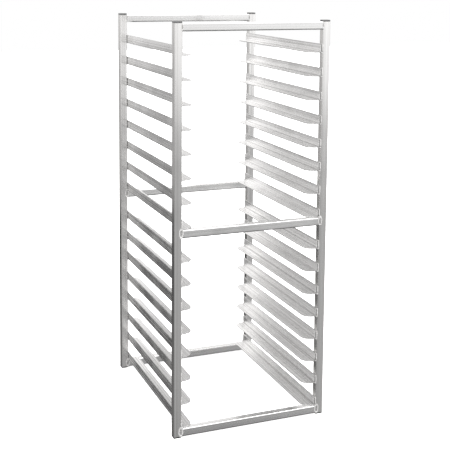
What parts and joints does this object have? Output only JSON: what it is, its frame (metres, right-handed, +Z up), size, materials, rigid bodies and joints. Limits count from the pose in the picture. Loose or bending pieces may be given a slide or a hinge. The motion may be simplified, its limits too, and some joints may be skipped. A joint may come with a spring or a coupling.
{
  "type": "sheet pan rack",
  "caption": "Open end-load rack for full-size sheet pans: a welded square-tube frame with L-shaped slides down both sides, dark tube caps and plain foot plugs.",
  "frame": {"origin": "on the floor, at the centre of the rack's footprint", "axes": "+Z up; +X towards the rack's right side, seen from its front; +Y towards its back, the way a pan slides in from the front"},
  "size_m": [0.5206, 0.6244, 1.3049],
  "materials": {
    "tube_aluminium": "satin extruded tube with faint lengthwise lines",
    "slide_aluminium": "mill-finish extrusion with lengthwise die lines",
    "cap_plastic": "dark grey moulded plastic",
    "foot_plastic": "black moulded plastic"
  },
  "bodies": {
    "root": {"upright_front_left": "tube_aluminium", "upright_front_right": "tube_aluminium", "upright_back_left": "tube_aluminium", "upright_back_right": "tube_aluminium", "rail_top_front": "tube_aluminium", "rail_top_back": "tube_aluminium", "rail_middle_front": "tube_aluminium", "rail_middle_back": "tube_aluminium", "rail_bottom_front": "tube_aluminium", "rail_bottom_back": "tube_aluminium", "slide_left_01": "slide_aluminium", "slide_left_02": "slide_aluminium", "slide_left_03": "slide_aluminium", "slide_left_04": "slide_aluminium", "slide_left_05": "slide_aluminium", "slide_left_06": "slide_aluminium", "slide_left_07": "slide_aluminium", "slide_left_08": "slide_aluminium", "slide_left_09": "slide_aluminium", "slide_left_10": "slide_aluminium", "slide_left_11": "slide_aluminium", "slide_left_12": "slide_aluminium", "slide_left_13": "slide_aluminium", "slide_left_14": "slide_aluminium", "slide_left_15": "slide_aluminium", "slide_left_16": "slide_aluminium", "slide_right_01": "slide_aluminium", "slide_right_02": "slide_aluminium", "slide_right_03": "slide_aluminium", "slide_right_04": "slide_aluminium", "slide_right_05": "slide_aluminium", "slide_right_06": "slide_aluminium", "slide_right_07": "slide_aluminium", "slide_right_08": "slide_aluminium", "slide_right_09": "slide_aluminium", "slide_right_10": "slide_aluminium", "slide_right_11": "slide_aluminium", "slide_right_12": "slide_aluminium", "slide_right_13": "slide_aluminium", "slide_right_14": "slide_aluminium", "slide_right_15": "slide_aluminium", "slide_right_16": "slide_aluminium", "top_cap_front_left": "cap_plastic", "top_cap_front_right": "cap_plastic", "top_cap_back_left": "cap_plastic", "top_cap_back_right": "cap_plastic", "foot_plug_front_left": "foot_plastic", "foot_plug_front_right": "foot_plastic", "foot_plug_back_left": "foot_plastic", "foot_plug_back_right": "foot_plastic"}
  },
  "joints": []
}
